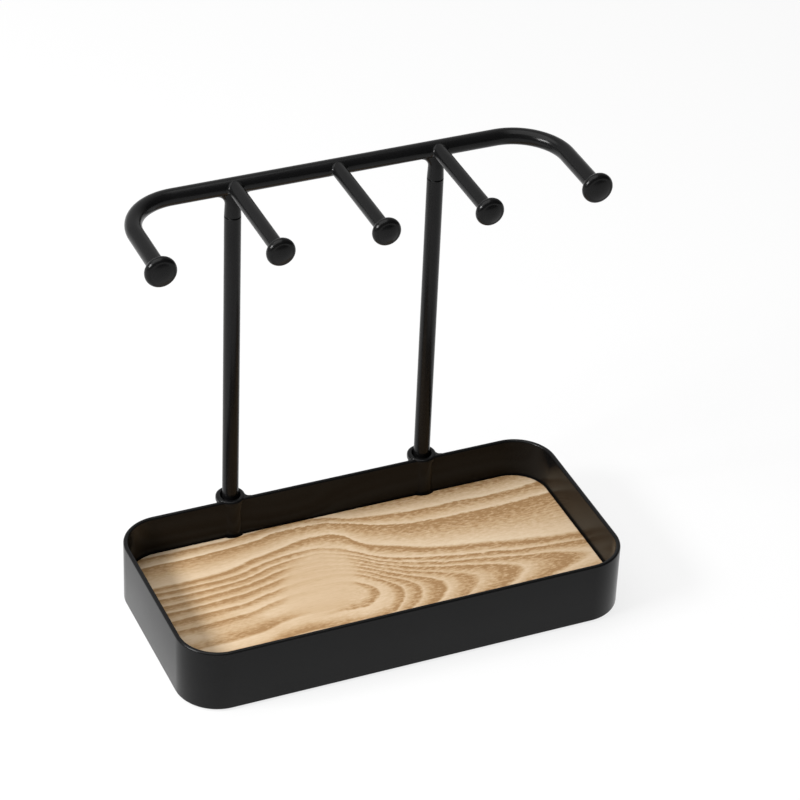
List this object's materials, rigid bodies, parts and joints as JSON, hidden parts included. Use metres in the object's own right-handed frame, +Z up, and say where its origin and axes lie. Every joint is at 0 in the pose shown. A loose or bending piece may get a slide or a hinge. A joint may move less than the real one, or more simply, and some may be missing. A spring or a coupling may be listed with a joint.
{
  "type": "jewelry stand",
  "caption": "Open black metal tray with a pale wood board and a bent hanger rail on posts behind it, with knobbed arms and pegs for hanging jewellery.",
  "frame": {"origin": "on the table under the feet, at the middle of the overall length and depth", "axes": "+Z up, +X to the right along the tray's length, -Y towards the user, who faces the pegs"},
  "size_m": [0.2216, 0.1186, 0.211],
  "materials": {
    "black_coat": "satin powder coat",
    "ash_wood": "matt, open straight grain",
    "foot_rubber": "matt",
    "stud_steel": "plain zinc plate"
  },
  "bodies": {
    "tray": {"rim_band": "black_coat", "floor_plate": "black_coat", "socket_left": "black_coat", "socket_right": "black_coat", "foot_front_left": "foot_rubber", "foot_front_right": "foot_rubber", "foot_rear_left": "foot_rubber", "foot_rear_right": "foot_rubber"},
    "hanger": {"post_left": "black_coat", "post_right": "black_coat", "neck_left": "black_coat", "neck_right": "black_coat", "rail": "black_coat", "peg_left": "black_coat", "peg_centre": "black_coat", "peg_right": "black_coat", "knob_arm_left": "black_coat", "knob_peg_left": "black_coat", "knob_peg_centre": "black_coat", "knob_peg_right": "black_coat", "knob_arm_right": "black_coat", "stud_left": "stud_steel", "stud_right": "stud_steel"},
    "board": {"wood_board": "ash_wood"}
  },
  "joints": [
    {"name": "hanger_lift", "type": "slide", "parent": "tray", "child": "hanger", "axis": [0, 0, 1], "range_m": [0, 0.035]},
    {"name": "board_lift", "type": "slide", "parent": "tray", "child": "board", "axis": [0, 0, 1], "range_m": [0, 0.04]}
  ]
}
